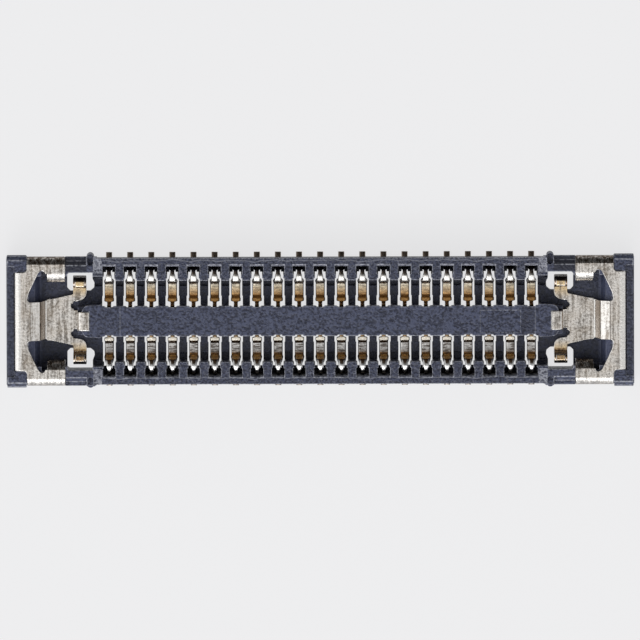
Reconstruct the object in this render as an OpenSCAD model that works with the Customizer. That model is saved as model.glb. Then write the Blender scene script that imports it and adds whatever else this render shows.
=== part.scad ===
// Board-to-board receptacle for a flexible circuit: two rows of bent contacts in a moulded
// housing with a centre island, and one formed metal fitting over each end.
// Millimetres. X runs along the rows, Y across them, Z up from the board at Z = 0.

/* [Rows] */
// Number of contacts in each row
contacts_per_row = 21; // [5:1:28]
// Distance from one contact to the next
pitch = 0.35; // [0.35:0.01:0.5]

/* [Housing] */
// Height of the side walls above the board
wall_top = 0.56; // [0.56:0.01:0.64]
// Height of the groove floor above the board
floor_top = 0.14; // [0.14:0.01:0.16]
// Width of the housing over its side walls
body_w = 2.1; // [2.08:0.01:2.12]
// Distance between the two side walls, which is the width of the mating recess
recess_w = 1.35; // [1.33:0.01:1.37]
// Width of the centre island between the rows
island_w = 0.505; // [0.49:0.005:0.51]
// Distance from the last contact to the outer face of the end wall
end_l = 1.7; // [1.69:0.01:1.8]

/* [Contacts] */
// Thickness of the contact strip
contact_t = 0.06; // [0.05:0.005:0.06]
// Width of the contact strip where it lies in the groove floor
contact_w = 0.15; // [0.13:0.01:0.16]
// Width of the solder tail
tail_w = 0.1; // [0.08:0.01:0.11]
// Distance between the tips of the solder tails of the two rows
tail_span = 2.22; // [2.2:0.01:2.4]

/* [End fittings] */
// Thickness of the sheet that the end fittings are formed from
sheet_t = 0.06; // [0.05:0.005:0.06]
// Height of the end fittings above the board
fitting_top = 0.58; // [0.58:0.01:0.66]
// Width of the end fittings, to the lines where their wings and side legs would meet
fitting_w = 2.18; // [2.18:0.01:2.24]
// Width of the spring arm that carries current beside each end of the island
arm_w = 0.22; // [0.18:0.005:0.23]

/* [Hidden] */
function contact_name(row, i) = str("contact_", row, i < 10 ? "0" : "", i);

past = 1;                                  // how far a cut runs past the surface it opens
row_l = (contacts_per_row - 1) * pitch;
half_body = body_w / 2;
half_recess = recess_w / 2;
half_island = island_w / 2;
island_top = wall_top - 0.02;
end_wall_t = 0.12;
bend_steps = 2;                            // flats in a quarter bend of a thin strip
arch_steps = 5;                            // flats in the half turn of an arch

// Places across the rows, as distances from the centre line.
arch_y = 0.745;                            // middle of the contact's arch
arch_r = 0.09;                             // its radius, to the middle of the strip
pocket_y = 0.91;                           // outer wall of the pocket behind the arch
channel_y = 0.555;                         // inner edge of the channel along each wall
spring_y = 0.245;                          // middle of the spring end beside the island

// Places along an end, as distances outward from the last contact.
tab_x = 0.33;                              // inner edge of the tab on the island
rise_x = 0.46;                             // end of the island, where the tab turns down
plate_x = 1.075;                           // outer edge of the fitting's floor plate
crease_x = 1.3;                            // where the guide slope meets the top plate
leg_x = end_l - end_wall_t - 0.005;        // outer face of the fitting's end leg
wing_x = [0.73, 1.36];                     // the side wings
hole_x = [0.26, 0.695];                    // the opening under the spring arm
hole_y = [0.475, 0.81];
arm_x = 0.4855;                            // middle of the spring arm
roll_y = 0.675;                            // middle of the sheet at the foot of the guide roll
leg_lean = 0.06;                           // how far the side legs lean in at the board
foot_h = 0.06;                             // height of their upright feet
half_tab = 0.155;                          // half width of the tab on the island
half_end = 0.82;                           // half width of the end plate
roll_x = 1.03;                             // outer end of the guide rolls
leg_bend = 0.1;                            // room that the bend of the end leg takes

// ---- Bent strips -----------------------------------------------------------------------

function unit(v) = v / norm(v);
function left_of(v) = [-v.y, v.x];
function turned(v, a) = [v.x * cos(a) - v.y * sin(a), v.x * sin(a) + v.y * cos(a)];

// Points of a bend of radius r that rounds the corner b of the path a, b, c.
function bend(a, b, c, r, steps) =
    let (back = unit(a - b), ahead = unit(c - b))
    let (half = acos(back * ahead) / 2, hub = b + unit(back + ahead) * r / sin(half))
    let (from_hub = b + back * r / tan(half) - hub, way = cross(b - a, c - b) > 0 ? 1 : -1)
    [for (i = [0:steps]) hub + turned(from_hub, way * i * (180 - 2 * half) / steps)];

// A path through rows of [x, y, bend radius, flats in the bend].
function path(rows) = [
    for (i = [0:len(rows) - 1])
        let (p = [rows[i][0], rows[i][1]])
        each ((i == 0 || i == len(rows) - 1 || rows[i][2] == 0) ? [p] :
            bend([rows[i - 1][0], rows[i - 1][1]], p, [rows[i + 1][0], rows[i + 1][1]],
                 rows[i][2], rows[i][3]))
];

// The line that runs beside a path at the distance d, to its left.
function beside(line, d) = [
    for (i = [0:len(line) - 1])
        let (before = unit(i > 0 ? line[i] - line[i - 1] : line[1] - line[0]))
        let (after = i < len(line) - 1 ? unit(line[i + 1] - line[i]) : before)
        let (n = left_of(unit(before + after)))
        line[i] + n * d / (n * left_of(before))
];

// Outline of a strip of thickness t whose middle follows a path.
module strip(line, t) {
    under = beside(line, -t / 2);
    polygon(concat(beside(line, t / 2), [for (i = [len(under) - 1:-1:0]) under[i]]));
}

// Turns a side view, drawn as [Y, Z], into a solid that is w wide along X.
module across(w) {
    rotate([90, 0, 90])
        linear_extrude(w, center = true)
            children();
}

// Turns a long view, drawn as [X, Z], into a solid that is w wide along Y.
module along(w) {
    rotate([90, 0, 0])
        linear_extrude(w, center = true)
            children();
}

// Both ends, both sides and both rows of contacts are mirror images.
module both_ends() {
    for (side = [0, 1])
        mirror([side, 0, 0])
            translate([row_l / 2, 0, 0])
                children();
}

module both_sides() {
    for (side = [0, 1])
        mirror([0, side, 0])
            children();
}

module each_contact() {
    both_sides()
        for (i = [0:contacts_per_row - 1])
            translate([i * pitch - row_l / 2, 0, 0])
                children();
}

// A flat layer from the height z0 up to z1.
module layer(z0, z1) {
    translate([0, 0, z0])
        linear_extrude(z1 - z0)
            children();
}

// A rectangle from one corner to the other.
module span(x0, x1, y0, y1) {
    translate([x0, y0])
        square([x1 - x0, y1 - y0]);
}

// ---- Contacts --------------------------------------------------------------------------

strip_z = contact_t / 2;                   // middle of the tail
groove_z = 0.12 - contact_t / 2;           // middle of the strip where it lies in the floor
arch_z = wall_top - 0.01 - contact_t / 2;  // middle of the strip at the top of the arch
leg_w = 0.068;                             // width of the outer leg and of the spring end

// From the solder tail up the outer leg, over the arch, down past the small detent, along
// the groove floor and up a ramp to the spring end, which stands in the side of the island.
contact_path = concat(
    path([
        [tail_span / 2, strip_z],
        [arch_y + arch_r, strip_z, 0.05, bend_steps],
        [arch_y + arch_r, arch_z - arch_r],
    ]),
    [for (i = [1:arch_steps]) [arch_y, arch_z - arch_r] + turned([arch_r, 0], 180 * i / arch_steps)],
    path([
        [arch_y - arch_r, 0.36],
        [arch_y - arch_r - 0.012, 0.31, 0],
        [arch_y - arch_r, 0.26, 0],
        [arch_y - arch_r, groove_z, 0.1, bend_steps],
        [0.385, groove_z, 0.02, 1],
        [0.345, groove_z + 0.06, 0.025, bend_steps],
        [spring_y, groove_z + 0.08, 0.045, bend_steps],
        [spring_y, 0.39, 0.05, 1],
        [spring_y - 0.015, 0.43],
    ])
);

// Half width of the strip at each distance from the centre line.
contact_widths = [
    [tail_span / 2 + past, tail_w / 2],
    [arch_y + 0.13, tail_w / 2],
    [arch_y + 0.115, leg_w / 2],
    [arch_y + 0.05, leg_w / 2],
    [arch_y, leg_w / 2 + 0.014],
    [arch_y - 0.065, contact_w / 2 - 0.015],
    [arch_y - 0.115, contact_w / 2 + 0.01],
    [arch_y - 0.145, contact_w / 2],
    [0.37, contact_w / 2],
    [0.35, contact_w / 2 + 0.006],
    [0.305, contact_w / 2 + 0.006],
    [0.295, leg_w / 2],
    [0, leg_w / 2],
];

module contact() {
    intersection() {
        across(2 * contact_w)
            strip(contact_path, contact_t);
        layer(-past, past)
            polygon(concat(
                [for (w = contact_widths) [w[1], w[0]]],
                [for (i = [len(contact_widths) - 1:-1:0]) [-contact_widths[i][1], contact_widths[i][0]]]
            ));
    }
}

module contact_in_row(row, i) {
    color("goldenrod")
        translate([(i - 1) * pitch - row_l / 2, 0, 0])
            mirror([0, row == "b" ? 1 : 0, 0])
                contact();
}

// ---- Housing ---------------------------------------------------------------------------

slot_w = 0.21;                             // opening in the floor round each contact
slot_foot_w = 0.23;                        // the same opening beside the island
arch_slot_w = 0.176;                       // opening in the wall round the arch
pocket_start = 0.78;                       // where that opening widens to the pocket for the leg
channel_z = 0.05;                          // floor of the channel along each wall
block_w = 2.16;                            // width over the blocks at the ends
block_x = [0.37, wing_x[0]];               // the shelf on top of them
shelf_depth = 0.09;
corner_w = 2.22;                           // width over the corners
corner_x = 1.37;
island_end_w = 0.545;                      // width of the island past the contacts
island_slot_y = 0.19;                      // depth of the slots in the sides of the island
boss_x = 0.31;
boss_r = 0.06;
mark_depth = 0.008;
chamfer = 0.018;
end_drop = 0.03;                           // how much lower the end wall is than the corners
end_wall_y = 0.92;                         // where the corners begin
panel = [0.67, 0.37];                      // the sunk panel on top of the island
panel_at = [2.985, -0.015];

// Outline of the whole housing, seen from above.
module body_outline() {
    square([row_l + 2 * end_l, body_w], center = true);
    both_ends()
        both_sides() {
            polygon([[0.2, 0], [0.2, half_body], [0.24, block_w / 2],
                     [wing_x[0], block_w / 2], [wing_x[0], 0]]);
            // The corner, with the lobe that the end fitting bends round.
            polygon(concat(
                [[end_l - 0.01, half_recess], [end_l - 0.01, corner_w / 2], [corner_x, corner_w / 2]],
                bend([corner_x, corner_w / 2], [corner_x, half_end], [1.48, half_end], 0.05, 3),
                [[1.48, half_end], [1.48, half_recess]]
            ));
        }
}

// The space between the walls: the groove along both rows and the wider room at each end.
module recess_outline() {
    square([row_l + 2 * hole_x[0], recess_w], center = true);
    both_ends()
        span(0, plate_x, -half_recess, half_recess);
}

module island_outline() {
    wide = island_end_w / 2;
    square([row_l, island_w], center = true);
    both_ends()
        both_sides()
            polygon(concat(
                [[0, 0], [0, half_island], [0.1, half_island]],
                bend([0.1, half_island], [0.15, wide], [0.3, wide], 0.08, 2),
                bend([0.3, wide], [rise_x - 0.05, wide - 0.02], [rise_x, 0.15], 0.09, 4),
                [[rise_x, 0.15], [rise_x, 0]]
            ));
}

// The opening round one contact, through the groove floor and up beside the arch.
module slot_outline() {
    span(-slot_w / 2, slot_w / 2, 0.36, 0.71);
    span(-slot_foot_w / 2, slot_foot_w / 2, half_island, 0.39);
    span(-arch_slot_w / 2, arch_slot_w / 2, 0.6, pocket_start);
}

// The opening under the spring arm, with its corners cut off.
module hole_outline() {
    cut = 0.05;
    polygon([
        [hole_x[0] + 0.015, hole_y[1]], [hole_x[1] - 0.03, hole_y[1]],
        [hole_x[1], hole_y[1] - 0.03], [hole_x[1], hole_y[0] + cut],
        [hole_x[1] - cut, hole_y[0]], [hole_x[0] + cut, hole_y[0]],
        [hole_x[0] - 0.01, hole_y[0] + cut], [hole_x[0] - 0.015, 0.6],
        [hole_x[0] + 0.015, 0.68]
    ]);
}

// The fillet where the sheet runs round the corner's lobe.
module lobe_fillet() {
    r = 0.06;
    polygon(concat(
        [[wing_x[1] - 0.01, half_end - 0.01], [wing_x[1] - 0.01, half_end + r]],
        bend([wing_x[1], 1], [wing_x[1], half_end], [2, half_end], r, 4),
        [[wing_x[1] + r, half_end - 0.01]]
    ));
}

// What the end fitting covers, taken out of the end of the housing.
module fitting_room() {
    under = fitting_top - sheet_t;
    side = fitting_w / 2 - sheet_t;
    both_sides() {
        layer(under, wall_top + past)
            lobe_fillet();
        layer(under, wall_top + past)
            span(wing_x[0], leg_x, 0, half_end);
        layer(under, wall_top + past)
            span(wing_x[0], wing_x[1], 0, corner_w);
        layer(0.24, wall_top + past)
            span(wing_x[0], 1.12, roll_y - sheet_t, 0.83);
        layer(floor_top, 0.24 + past)
            span(wing_x[0], plate_x, 0, roll_y - 0.015);
        // Room for the leg, and the corner cut off under its bend.
        translate([(wing_x[0] + wing_x[1]) / 2, 0, 0])
            across(wing_x[1] - wing_x[0])
                polygon([[side - 0.12, under], [side - 0.022, under - 0.11],
                         [side - leg_lean - 0.002, foot_h], [side - leg_lean - 0.002, -past],
                         [side + past, -past], [side + past, under]]);
    }
    layer(0.1, wall_top + past)
        span(leg_x - sheet_t, leg_x, -half_end, half_end);
    // The slope under the guide, from the top plate down to the floor.
    along(1.5)
        polygon([[plate_x - past, floor_top], [1.15, floor_top], [1.23, 0.42],
                 [1.34, under], [1.34, past], [plate_x - past, past]]);
    // The corner cut off under the bend of the end plate.
    along(2 * half_end)
        polygon([[leg_x - 0.1, under], [leg_x - sheet_t, under - 0.04],
                 [leg_x, under], [leg_x, past]]);
}

// The outer sides lean in a little towards the board, from the half width y at the top.
module lean(x0, x1, y, l) {
    both_sides()
        translate([(x0 + x1) / 2, 0, 0])
            across(x1 - x0)
                polygon([[y, wall_top - 0.03], [y - l, 0], [y - l, -past],
                         [y + past, -past], [y + past, wall_top - 0.03]]);
}

// The top of one end: shelf, channel above the boss, gate mark and corner.
module end_marks() {
    both_sides() {
        layer(-past, wall_top + past)
            hole_outline();
        translate([(block_x[0] + block_x[1]) / 2, 0, 0])
            across(block_x[1] - block_x[0])
                polygon([[0.935, wall_top], [1, wall_top - shelf_depth], [corner_w, wall_top - shelf_depth],
                         [corner_w, wall_top + past], [0.935, wall_top + past]]);
        layer(wall_top - shelf_depth, wall_top + past) {
            span(boss_x - boss_r + 0.01, boss_x + boss_r - 0.01, 0.98, corner_w);
            translate([boss_x, 0.98])
                circle(r = boss_r - 0.01, $fn = 24);
        }
        layer(wall_top - mark_depth, wall_top + past)
            polygon([[0.12, 0.8], [0.25, 0.8], [0.25, 1.03], [0.19, 1.03], [0.12, 0.93]]);
        // The corner's long edge slopes down in two flats.
        translate([(corner_x + end_l) / 2, 0, 0])
            across(end_l - corner_x + 0.02)
                polygon([[1.02, wall_top], [1.085, wall_top - 0.05], [corner_w / 2, wall_top - 0.13],
                         [corner_w, wall_top - 0.13], [corner_w, wall_top + past],
                         [1.02, wall_top + past]]);
    }
    // The end wall is a little lower than the corners.
    layer(wall_top - end_drop, wall_top + past)
        span(leg_x, end_l + past, -end_wall_y, end_wall_y);
    // The seat of the fitting's tab, with its corner cut off under the bend.
    layer(island_top - 0.04, wall_top + past)
        span(tab_x, rise_x + past, -half_tab, half_tab);
    along(2 * half_tab)
        polygon([[rise_x - 0.03, island_top - 0.03], [rise_x + 0.01, island_top - 0.07],
                 [rise_x + 0.01, island_top - 0.03]]);
    lean(0.2, wing_x[0], block_w / 2, 0.04);
    lean(corner_x - 0.01, end_l + 0.1, corner_w / 2, 0.06);
    // The outer edge of the end wall has a chamfer.
    along(2 * corner_w)
        polygon([[end_l - chamfer, wall_top], [end_l, wall_top - chamfer],
                 [end_l + past, wall_top - chamfer], [end_l + past, wall_top + past],
                 [end_l - chamfer, wall_top + past]]);
    along(2 * end_wall_y)
        polygon([[end_l - chamfer, wall_top - end_drop], [end_l, wall_top - end_drop - chamfer],
                 [end_l + past, wall_top - end_drop - chamfer], [end_l + past, wall_top],
                 [end_l - chamfer, wall_top]]);
}

module housing() {
    color("darkslategray") {
        difference() {
            union() {
                difference() {
                    layer(0, wall_top)
                        body_outline();
                    layer(floor_top, wall_top + past)
                        recess_outline();
                    both_ends()
                        fitting_room();
                }
                layer(0, island_top)
                    island_outline();
                // The low step at the end of the island.
                both_ends()
                    both_sides()
                        layer(0, 0.4)
                            span(0.3, rise_x + 0.06, 0.165, 0.235);
            }
            // Openings round the contacts, and the notches that grip their tails.
            layer(-past, wall_top + past)
                each_contact()
                    slot_outline();
            layer(contact_t, wall_top + past)
                each_contact()
                    span(-slot_w / 2, slot_w / 2, pocket_start - 0.001, pocket_y);
            layer(-past, contact_t)
                each_contact()
                    span(-tail_w / 2, tail_w / 2, pocket_start - 0.001, half_body + past);
            // The pockets have a chamfer outside.
            each_contact()
                across(slot_w)
                    polygon([[pocket_y - 0.01, wall_top - 0.035], [pocket_y + 0.026, wall_top + 0.001],
                             [pocket_y - 0.01, wall_top + 0.001]]);
            // The sides of the island open to the spring ends.
            layer(-past, island_top - 0.08)
                each_contact()
                    span(-slot_foot_w / 2, slot_foot_w / 2, island_slot_y, half_island + 0.01);
            layer(island_top - 0.1, wall_top)
                each_contact()
                    polygon([[-0.09, half_island + 0.02], [-0.06, half_island - 0.02],
                             [0.06, half_island - 0.02], [0.09, half_island + 0.02]]);
            // The channel along the foot of each wall.
            layer(channel_z, floor_top + 0.1)
                both_sides()
                    span(-row_l / 2 - 0.26, row_l / 2 + 0.26, channel_y, half_recess);
            lean(-row_l / 2 - 0.2, row_l / 2 + 0.2, half_body, 0.025);
            both_ends()
                end_marks();
            // The sunk panel on the island.
            translate([panel_at.x, panel_at.y, 0])
                layer(island_top - mark_depth, wall_top + past)
                    square(panel, center = true);
        }
        // The boss that stands out at the foot of the channel.
        both_ends()
            both_sides()
                translate([boss_x, block_w / 2 - 0.03, 0])
                    cylinder(h = wall_top - shelf_depth - 0.02, r = boss_r, $fn = 24);
    }
}

// ---- End fittings ----------------------------------------------------------------------

top_z = fitting_top - sheet_t / 2;         // middle of the sheet in the top plate
plate_z = floor_top + sheet_t / 2;         // and in the floor plate
tab_z = island_top - 0.037 + sheet_t / 2;  // and in the tab on the island

// The three-cornered window between the top plate, the wing and the floor plate.
module window_outline() {
    polygon(concat(
        [[crease_x - 0.15, 0.32], [1.3, 0.32]],
        bend([1.3, 0.32], [1.365, 0.335], [1.335, 0.47], 0.05, 3),
        bend([1.365, 0.335], [1.335, 0.47], [1.17, 0.8], 0.2, 2),
        bend([1.335, 0.47], [1.11, 0.935], [1.035, 0.75], 0.06, 5),
        [[roll_x, 0.75], [roll_x, 0.32]]
    ));
}

// The sheet on top of the housing: the end plate and the roots of both wings.
module top_sheet() {
    layer(fitting_top - sheet_t, fitting_top)
        difference() {
            union() {
                span(crease_x, leg_x - leg_bend, -half_end, half_end);
                both_sides() {
                    span(wing_x[0], wing_x[1], 0.8, 0.95);
                    lobe_fillet();
                }
                both_sides()
                    polygon([[crease_x, 0.3], [1.4, 0.3], [1.4, half_end], [wing_x[1], half_end],
                             [roll_x, 0.84]]);
            }
            both_sides()
                window_outline();
        }
}

// The end leg and its bend, and the guide slope down to the floor plate.
module end_leg() {
    along(2 * half_end)
        strip(path([
            [leg_x - sheet_t / 2, 0.12],
            [leg_x - sheet_t / 2, top_z, 0.06, 4],
            [leg_x - leg_bend, top_z],
        ]), sheet_t);
}

module guide_slope() {
    along(2 * 0.32)
        strip(path([
            [crease_x + 0.04, top_z],
            [crease_x, top_z, 0.03, 2],
            [crease_x - 0.14, top_z - 0.07, 0.05, 3],
            [plate_x + 0.01, plate_z, 0.05, 3],
            [plate_x - 0.06, plate_z],
        ]), sheet_t);
}

// The floor plate with the necks of the two spring arms.
module floor_plate() {
    inner_x = arm_x - arm_w / 2;
    outer_x = arm_x + arm_w / 2;
    layer(floor_top, floor_top + sheet_t)
        difference() {
            both_sides()
                polygon(concat(
                    [[rise_x + 0.1, 0], [plate_x - 0.04, 0], [plate_x - 0.04, 0.34]],
                    bend([plate_x - 0.04, 0.34], [0.93, 0.35], [outer_x, 0.42], 0.3, 2),
                    bend([0.93, 0.35], [outer_x, 0.425], [outer_x, 0.53], 0.03, 3),
                    [[outer_x, 0.53], [inner_x, 0.53]],
                    bend([inner_x, 0.53], [inner_x, 0.33], [0.6, 0.3], 0.12, 4),
                    [[0.6, 0.3]]
                ));
            both_sides() {
                span(0, 0.59, half_tab, 0.31);
                translate([0.59, 0.2325])
                    circle(r = 0.0775 - 0.03, $fn = 24);
            }
        }
}

// The tab that holds the floor plate down on the end of the island.
module island_tab() {
    along(2 * half_tab)
        strip(path([
            [rise_x + 0.14, plate_z],
            [rise_x + 0.003 + sheet_t / 2, plate_z, 0.04, bend_steps],
            [rise_x + 0.003 + sheet_t / 2, tab_z, 0.04, 3],
            [tab_x, tab_z],
        ]), sheet_t);
}

// The spring arm: it leaves the floor plate, rises to a raised pad and points down again.
module spring_arm() {
    translate([arm_x, 0, 0])
        across(arm_w)
            strip(path([
                [0.5, plate_z],
                [0.555, plate_z, 0.03, bend_steps],
                [0.58, 0.44, 0.05, 3],
                [0.685, 0.44, 0.05, 3],
                [0.71, 0.2],
            ]), sheet_t);
    // The pad where the header's contact slides.
    translate([arm_x, 0, 0])
        across(0.66 * arm_w)
            polygon(path([[0.56, 0.44], [0.57, 0.505, 0.025, 2], [0.67, 0.505, 0.035, 3], [0.7, 0.44]]));
}

// The side wing: a rolled guide edge inside, a flat, and a leg down to the board outside.
module wing() {
    side = (fitting_w - sheet_t) / 2;
    translate([(wing_x[0] + wing_x[1]) / 2, 0, 0])
        across(wing_x[1] - wing_x[0])
            strip(path([
                [0.9, top_z],
                [side, top_z, 0.11, 4],
                [side - leg_lean, foot_h, 0],
                [side - leg_lean, 0],
            ]), sheet_t);
    translate([(wing_x[0] + roll_x) / 2, 0, 0])
        across(roll_x - wing_x[0])
            strip(path([[roll_y, 0.27], [roll_y, top_z, 0.15, 5], [0.87, top_z]]), sheet_t);
}

module end_fitting() {
    color("silver") {
        top_sheet();
        end_leg();
        guide_slope();
        floor_plate();
        island_tab();
        both_sides() {
            spring_arm();
            wing();
        }
    }
}

module end_fitting_right() {
    translate([row_l / 2, 0, 0])
        end_fitting();
}

module end_fitting_left() {
    mirror([1, 0, 0])
        end_fitting_right();
}

// ---- Pieces ----------------------------------------------------------------------------

housing();
end_fitting_left();
end_fitting_right();
for (row = ["a", "b"])
    for (i = [1:contacts_per_row])
        contact_in_row(row, i);
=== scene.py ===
# A board-to-board receptacle: moulded housing, two rows of bent contacts and two end fittings.
# Shapes are worked out in millimetres and brought to metres when a piece is finished.
import math

import bmesh
import bpy
from mathutils import Euler, Matrix, Vector


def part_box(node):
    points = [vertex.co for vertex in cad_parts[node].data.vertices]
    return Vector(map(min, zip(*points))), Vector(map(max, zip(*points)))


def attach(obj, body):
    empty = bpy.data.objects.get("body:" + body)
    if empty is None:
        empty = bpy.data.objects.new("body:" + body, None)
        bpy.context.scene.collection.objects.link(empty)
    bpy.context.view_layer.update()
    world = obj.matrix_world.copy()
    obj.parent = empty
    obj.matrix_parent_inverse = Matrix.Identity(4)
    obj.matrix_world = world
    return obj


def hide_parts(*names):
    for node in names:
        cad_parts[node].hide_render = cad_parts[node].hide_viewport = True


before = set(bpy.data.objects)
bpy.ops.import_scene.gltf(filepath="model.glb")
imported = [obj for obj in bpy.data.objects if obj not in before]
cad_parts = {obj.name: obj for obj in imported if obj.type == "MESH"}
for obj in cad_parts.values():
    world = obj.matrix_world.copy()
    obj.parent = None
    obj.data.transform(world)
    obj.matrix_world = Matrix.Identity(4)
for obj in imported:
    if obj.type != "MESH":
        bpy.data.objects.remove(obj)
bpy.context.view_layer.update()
mm = 0.001
print("frame loaded:", len(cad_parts), "nodes")

contactNames = sorted(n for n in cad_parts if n.startswith("contact_"))
rowNames = {row: [n for n in contactNames if n.startswith("contact_" + row)] for row in "ab"}


def middleX(node):
    low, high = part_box(node)
    return (low.x + high.x) / 2 / mm


contactCount = len(rowNames["a"])
rowLength = middleX(rowNames["a"][-1]) - middleX(rowNames["a"][0])
pitch = rowLength / (contactCount - 1)
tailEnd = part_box(rowNames["a"][0])[1].y / mm
print("rows of", contactCount, "contacts, pitch", round(pitch, 4))


cameraValues = {
    "frameWidth": 10.603,   # mm across the picture at the top of the walls
    "lens": 1300.0,
    "tilt": 5.0,            # degrees towards the far side
    "roll": -0.16,
    "aim": (-0.005, 0.0166, 0.56),
    "sensorWidth": 36.0,
    "clip": (0.001, 10.0),  # m
}


def makeCamera(v):
    data = bpy.data.cameras.new("camera")
    data.lens = v["lens"]
    data.sensor_width = v["sensorWidth"]
    data.clip_start, data.clip_end = v["clip"]
    cam = bpy.data.objects.new("camera", data)
    bpy.context.scene.collection.objects.link(cam)
    distance = v["frameWidth"] * mm * v["lens"] / data.sensor_width
    turn = Euler((math.radians(-v["tilt"]), 0.0, math.radians(v["roll"])), "ZYX").to_matrix()
    cam.location = Vector(v["aim"]) * mm + turn @ Vector((0.0, 0.0, distance))
    cam.rotation_euler = turn.to_euler()
    bpy.context.scene.camera = cam


makeCamera(cameraValues)

stageValues = {
    "floorSize": 0.6,                        # m
    "floorZ": -2e-6,                         # just clear of the underside
    "floorColor": (0.62, 0.62, 0.63),
    "shownColor": (0.93, 0.93, 0.94),        # what the camera sees of the floor and beyond
    "shadowShare": 0.22,                     # how much of the floor's own shading shows in that
}

lightValues = {
    "front": 1.5,      # brightness of the surroundings towards the front, -Y
    "above": 0.62,
    "back": 0.05,
    "left": 0.6,       # added towards -X
    # Between which directions each of them comes in, on an axis from -1 to 1.
    "frontFade": (-0.02, -0.5),
    "backFade": (0.03, 0.36),
    "backEnds": (0.5, 0.8),
    "leftFade": (-0.05, -0.45),
}

softboxValues = {
    "place": (-12, -52, 44),
    "size": (46, 16),
    "watts": 0.012,
}


def nodeIn(tree, kind, **settings):
    node = tree.nodes.new(kind)
    for key, value in settings.items():
        setattr(node, key, value)
    return node


def mathNode(tree, operation, a, b=None, clamp=False):
    node = nodeIn(tree, "ShaderNodeMath", operation=operation, use_clamp=clamp)
    for socket, value in zip(node.inputs, (a, b)):
        if value is None:
            continue
        if isinstance(value, (int, float)):
            socket.default_value = value
        else:
            tree.links.new(value, socket)
    return node.outputs[0]


def times(tree, a, b):
    return mathNode(tree, "MULTIPLY", a, b)


def plus(tree, a, b):
    return mathNode(tree, "ADD", a, b)


def larger(tree, a, b):
    return mathNode(tree, "MAXIMUM", a, b)


def remap(tree, value, low, high, newLow=0.0, newHigh=1.0, smooth=False):
    node = nodeIn(tree, "ShaderNodeMapRange", interpolation_type="SMOOTHSTEP" if smooth else "LINEAR")
    node.clamp = True
    tree.links.new(value, node.inputs["Value"])
    for name, number in zip(("From Min", "From Max", "To Min", "To Max"), (low, high, newLow, newHigh)):
        node.inputs[name].default_value = number
    return node.outputs["Result"]


def mixColors(tree, factor, a, b, blend="MIX"):
    node = nodeIn(tree, "ShaderNodeMix", data_type="RGBA", blend_type=blend)
    node.clamp_factor = True
    for socket, value in ((node.inputs["Factor"], factor), (node.inputs["A"], a), (node.inputs["B"], b)):
        if isinstance(value, (int, float)):
            socket.default_value = value
        elif isinstance(value, tuple):
            socket.default_value = (*value[:3], 1.0)
        else:
            tree.links.new(value, socket)
    return node.outputs["Result"]


def makeFloor(v):
    half, z = v["floorSize"] / 2, v["floorZ"]
    corners = [(-half, -half, z), (half, -half, z), (half, half, z), (-half, half, z)]
    mesh = bpy.data.meshes.new("floor")
    mesh.from_pydata(corners, [], [(0, 1, 2, 3)])
    floor = bpy.data.objects.new("floor", mesh)
    bpy.context.scene.collection.objects.link(floor)
    mat = bpy.data.materials.new("floorPaper")
    mat.use_nodes = True
    tree = mat.node_tree
    tree.nodes.clear()
    plain = nodeIn(tree, "ShaderNodeBsdfDiffuse")
    plain.inputs["Color"].default_value = (*v["floorColor"], 1)
    shown = nodeIn(tree, "ShaderNodeEmission")
    shown.inputs["Color"].default_value = (*v["shownColor"], 1)
    partly = nodeIn(tree, "ShaderNodeMixShader")
    partly.inputs[0].default_value = v["shadowShare"]
    tree.links.new(shown.outputs[0], partly.inputs[1])
    tree.links.new(plain.outputs[0], partly.inputs[2])
    path = nodeIn(tree, "ShaderNodeLightPath")
    seen = nodeIn(tree, "ShaderNodeMixShader")
    inView = larger(tree, path.outputs["Is Camera Ray"], path.outputs["Is Glossy Ray"])
    tree.links.new(inView, seen.inputs[0])
    tree.links.new(plain.outputs[0], seen.inputs[1])
    tree.links.new(partly.outputs[0], seen.inputs[2])
    out = nodeIn(tree, "ShaderNodeOutputMaterial")
    tree.links.new(seen.outputs[0], out.inputs["Surface"])
    mesh.materials.append(mat)


def makeSurroundings(stage, v):
    world = bpy.data.worlds.new("studio")
    bpy.context.scene.world = world
    world.use_nodes = True
    tree = world.node_tree
    tree.nodes.clear()
    coords = nodeIn(tree, "ShaderNodeTexCoord")
    axes = nodeIn(tree, "ShaderNodeSeparateXYZ")
    tree.links.new(coords.outputs["Generated"], axes.inputs[0])
    x, y = axes.outputs["X"], axes.outputs["Y"]
    front = remap(tree, y, *v["frontFade"], v["above"], v["front"], smooth=True)
    back = remap(tree, y, *v["backFade"], 0.0, v["above"] - v["back"], smooth=True)
    aside = mathNode(tree, "ABSOLUTE", x)
    back = times(tree, back, remap(tree, aside, *v["backEnds"], 1.0, 0.0, smooth=True))
    left = remap(tree, x, *v["leftFade"], 0.0, v["left"], smooth=True)
    level = plus(tree, mathNode(tree, "SUBTRACT", front, back), left)
    lit = nodeIn(tree, "ShaderNodeBackground")
    tree.links.new(level, lit.inputs["Strength"])
    shown = nodeIn(tree, "ShaderNodeBackground")
    shown.inputs["Color"].default_value = (*stage["shownColor"], 1)
    path = nodeIn(tree, "ShaderNodeLightPath")
    seen = nodeIn(tree, "ShaderNodeMixShader")
    tree.links.new(path.outputs["Is Camera Ray"], seen.inputs[0])
    tree.links.new(lit.outputs[0], seen.inputs[1])
    tree.links.new(shown.outputs[0], seen.inputs[2])
    out = nodeIn(tree, "ShaderNodeOutputWorld")
    tree.links.new(seen.outputs[0], out.inputs["Surface"])
    bpy.context.scene.view_settings.view_transform = "Standard"


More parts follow.
